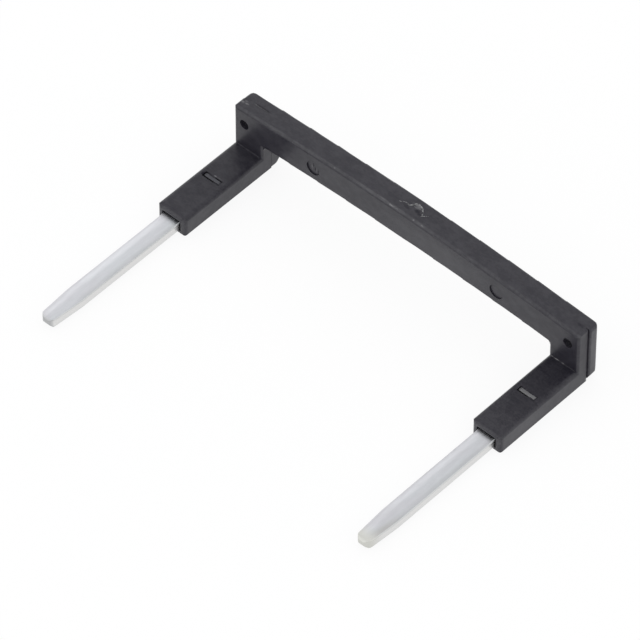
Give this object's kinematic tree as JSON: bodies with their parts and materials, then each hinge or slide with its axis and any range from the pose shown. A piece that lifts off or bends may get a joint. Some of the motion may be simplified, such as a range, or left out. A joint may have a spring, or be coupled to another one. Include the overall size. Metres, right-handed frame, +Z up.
{
  "type": "shorting bar",
  "caption": "Slim U-shaped shorting bar: a tinned strip runs inside a black moulded bar and leaves its sleeves as tapered flat pins that bridge neighbouring relay sockets.",
  "frame": {"origin": "under the middle of the whole part, on the plane that the two sleeves lie on", "axes": "+X along the bar, -Y the way the pins point, +Z up from the sleeves to the bar"},
  "size_m": [0.0417, 0.029, 0.0077],
  "materials": {
    "black_plastic": "moulded, faintly textured, dull",
    "tinned_metal": "bright tin plate on a rolled copper alloy strip"
  },
  "bodies": {
    "root": {"front_housing": "black_plastic", "back_cover": "black_plastic", "conductor": "tinned_metal"}
  },
  "joints": []
}
